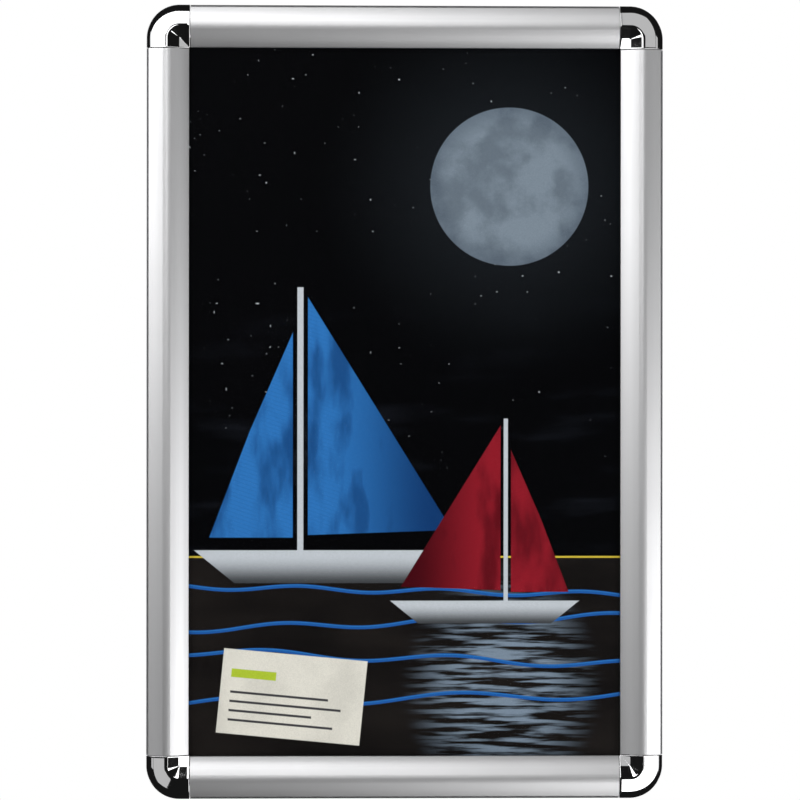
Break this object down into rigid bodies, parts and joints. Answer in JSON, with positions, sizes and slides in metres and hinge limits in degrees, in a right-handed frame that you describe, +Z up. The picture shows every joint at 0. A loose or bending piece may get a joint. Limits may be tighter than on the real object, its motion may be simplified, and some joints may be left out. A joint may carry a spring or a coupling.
{
  "type": "poster frame",
  "caption": "Rectangular wall poster frame with hinged snap-open aluminium rails, rounded chromed corner caps, a clear front sheet and a back panel.",
  "frame": {"origin": "middle of the four wall screw holes, on the wall plane at the back of the frame", "axes": "+X to the right as seen from the front, +Y into the wall, +Z up along the long side"},
  "size_m": [0.3068, 0.0126, 0.4706],
  "materials": {
    "snap_rail_aluminium": "satin anodised silver",
    "base_rail_aluminium": "anodised silver",
    "plated_cap": "bright chrome plating on moulded plastic",
    "bracket_steel": "zinc plated",
    "spring_steel": "bright spring strip",
    "screw_steel": "zinc plated",
    "clear_sheet": "clear, anti-glare",
    "poster_paper": "printed",
    "panel_board": "matt"
  },
  "bodies": {
    "frame": {"top_base_rail": "base_rail_aluminium", "top_springs": "spring_steel", "bottom_base_rail": "base_rail_aluminium", "bottom_springs": "spring_steel", "left_base_rail": "base_rail_aluminium", "left_springs": "spring_steel", "right_base_rail": "base_rail_aluminium", "right_springs": "spring_steel", "top_left_corner_cap": "plated_cap", "top_left_corner_bracket": "bracket_steel", "top_right_corner_cap": "plated_cap", "top_right_corner_bracket": "bracket_steel", "bottom_right_corner_cap": "plated_cap", "bottom_right_corner_bracket": "bracket_steel", "bottom_left_corner_cap": "plated_cap", "bottom_left_corner_bracket": "bracket_steel", "clear_front_sheet": "clear_sheet", "poster": "poster_paper", "back_panel": "panel_board", "cap_screws": "screw_steel", "bracket_grub_screws": "screw_steel"},
    "top_rail": {"top_snap_rail": "snap_rail_aluminium"},
    "bottom_rail": {"bottom_snap_rail": "snap_rail_aluminium"},
    "left_rail": {"left_snap_rail": "snap_rail_aluminium"},
    "right_rail": {"right_snap_rail": "snap_rail_aluminium"}
  },
  "joints": [
    {"name": "top_rail_hinge", "type": "hinge", "parent": "frame", "child": "top_rail", "pos_m": [0, -0.0064, 0.233], "axis": [-1, 0, 0], "range_deg": [0, 90], "deforming": ["top_springs"]},
    {"name": "bottom_rail_hinge", "type": "hinge", "parent": "frame", "child": "bottom_rail", "pos_m": [0, -0.0064, -0.233], "axis": [1, 0, 0], "range_deg": [0, 90], "deforming": ["bottom_springs"]},
    {"name": "left_rail_hinge", "type": "hinge", "parent": "frame", "child": "left_rail", "pos_m": [-0.1511, -0.0064, 0], "axis": [0, 0, -1], "range_deg": [0, 90], "deforming": ["left_springs"]},
    {"name": "right_rail_hinge", "type": "hinge", "parent": "frame", "child": "right_rail", "pos_m": [0.1511, -0.0064, 0], "axis": [0, 0, 1], "range_deg": [0, 90], "deforming": ["right_springs"]}
  ]
}
